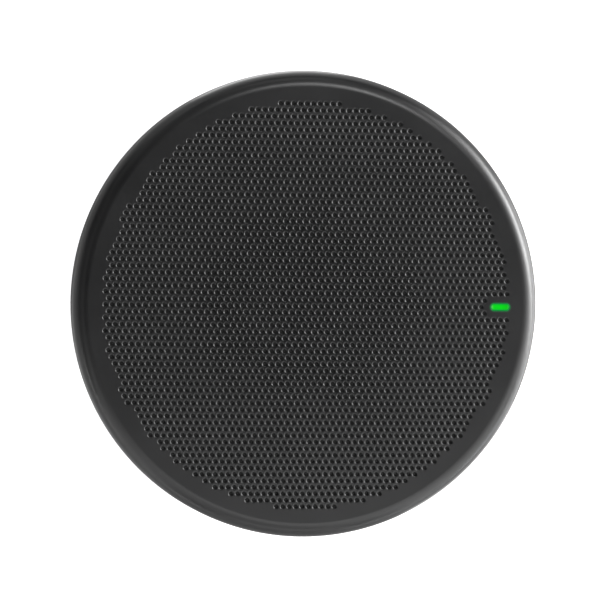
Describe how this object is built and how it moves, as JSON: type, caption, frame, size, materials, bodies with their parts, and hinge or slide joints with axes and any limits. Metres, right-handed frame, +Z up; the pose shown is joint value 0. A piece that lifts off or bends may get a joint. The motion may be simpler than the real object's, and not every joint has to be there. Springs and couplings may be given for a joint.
{
  "type": "conference speakerphone",
  "caption": "Round low table-top conference speakerphone with a perforated black cover, a green status light, side keys and a rear port bay.",
  "frame": {"origin": "on the table under the middle of the rubber foot ring", "axes": "+Z up through the middle of the disc, +X towards the status light, -X towards the port bay, -Y towards the side keys"},
  "size_m": [0.145, 0.145, 0.036],
  "materials": {
    "cover_black": "fine matte textured black polycarbonate",
    "housing_black": "fine matte textured black plastic",
    "cloth_black": "woven acoustic mesh",
    "light_green": "glowing translucent green light pipe",
    "rubber_black": "matte rubber",
    "key_black": "soft matte key plastic",
    "frame_grey": "glass-filled nylon",
    "board_green": "solder-masked circuit board",
    "chip_black": "moulded epoxy",
    "steel": "plated steel",
    "screw_steel": "black zinc plated steel",
    "gold": "gold plated contacts",
    "copper": "enamelled copper",
    "ferrite": "sintered ferrite",
    "paper_black": "pressed paper cone",
    "spider_tan": "resin-treated woven cloth",
    "foam_black": "closed-cell foam",
    "label_grey": "blank printed film",
    "connector_white": "connector plastic",
    "flex_amber": "polyimide flat cable",
    "wire_red": "wire insulation",
    "lamp_clear": "frosted light pipe",
    "can_silver": "drawn aluminium"
  },
  "bodies": {
    "shell": {"top_cover": "cover_black", "lower_housing": "housing_black", "foot_ring": "rubber_black", "seam_gasket": "rubber_black", "grille_cloth": "cloth_black", "status_lens": "light_green", "status_leds": "lamp_clear", "mic_board": "board_green", "mic_capsules": "steel", "mic_boots": "rubber_black", "mic_board_screws": "screw_steel", "flex_connector": "connector_white", "inner_frame": "frame_grey", "driver_basket": "steel", "driver_screws": "screw_steel", "driver_surround": "rubber_black", "driver_spider": "spider_tan", "driver_top_plate": "steel", "driver_magnet": "ferrite", "driver_yoke": "steel", "driver_gasket": "foam_black", "driver_terminals": "connector_white", "speaker_enclosure": "frame_grey", "enclosure_gasket": "foam_black", "enclosure_screws": "screw_steel", "main_board": "board_green", "board_screws": "screw_steel", "processor": "chip_black", "shield_can": "steel", "capacitors": "can_silver", "power_transformer": "ferrite", "board_connectors": "connector_white", "ethernet_jack": "chip_black", "jack_lights": "lamp_clear", "jack_shield": "steel", "jack_contacts": "gold", "usb_c_shell": "steel", "usb_c_tongue": "chip_black", "power_switch": "chip_black", "side_switches": "chip_black", "side_key_board": "board_green", "housing_screws": "screw_steel", "frame_screws": "screw_steel", "speaker_leads": "wire_red", "mic_flex_cable": "flex_amber", "key_flex_cable": "flex_amber", "blank_label": "label_grey"},
    "speaker_cone": {"driver_cone": "paper_black", "driver_dust_cap": "paper_black", "voice_coil": "copper"},
    "volume_down": {"volume_down_key": "key_black", "volume_down_plunger": "connector_white"},
    "mute": {"mute_key": "key_black", "mute_plunger": "connector_white"},
    "volume_up": {"volume_up_key": "key_black", "volume_up_plunger": "connector_white"},
    "power": {"power_key": "key_black", "power_plunger": "connector_white"}
  },
  "joints": [
    {"name": "cone_travel", "type": "slide", "parent": "shell", "child": "speaker_cone", "axis": [0, 0, 1], "range_m": [-0.0015, 0.0015], "stiffness_N_per_m": 1500, "deforming": ["driver_surround", "driver_spider"]},
    {"name": "volume_down_press", "type": "slide", "parent": "shell", "child": "volume_down", "axis": [0, 1, 0], "range_m": [0, 0.0004], "stiffness_N_per_m": 800},
    {"name": "mute_press", "type": "slide", "parent": "shell", "child": "mute", "axis": [0, 1, 0], "range_m": [0, 0.0004], "stiffness_N_per_m": 800},
    {"name": "volume_up_press", "type": "slide", "parent": "shell", "child": "volume_up", "axis": [0, 1, 0], "range_m": [0, 0.0004], "stiffness_N_per_m": 800},
    {"name": "power_press", "type": "slide", "parent": "shell", "child": "power", "axis": [1, 0, 0], "range_m": [0, 0.0004], "stiffness_N_per_m": 800}
  ]
}
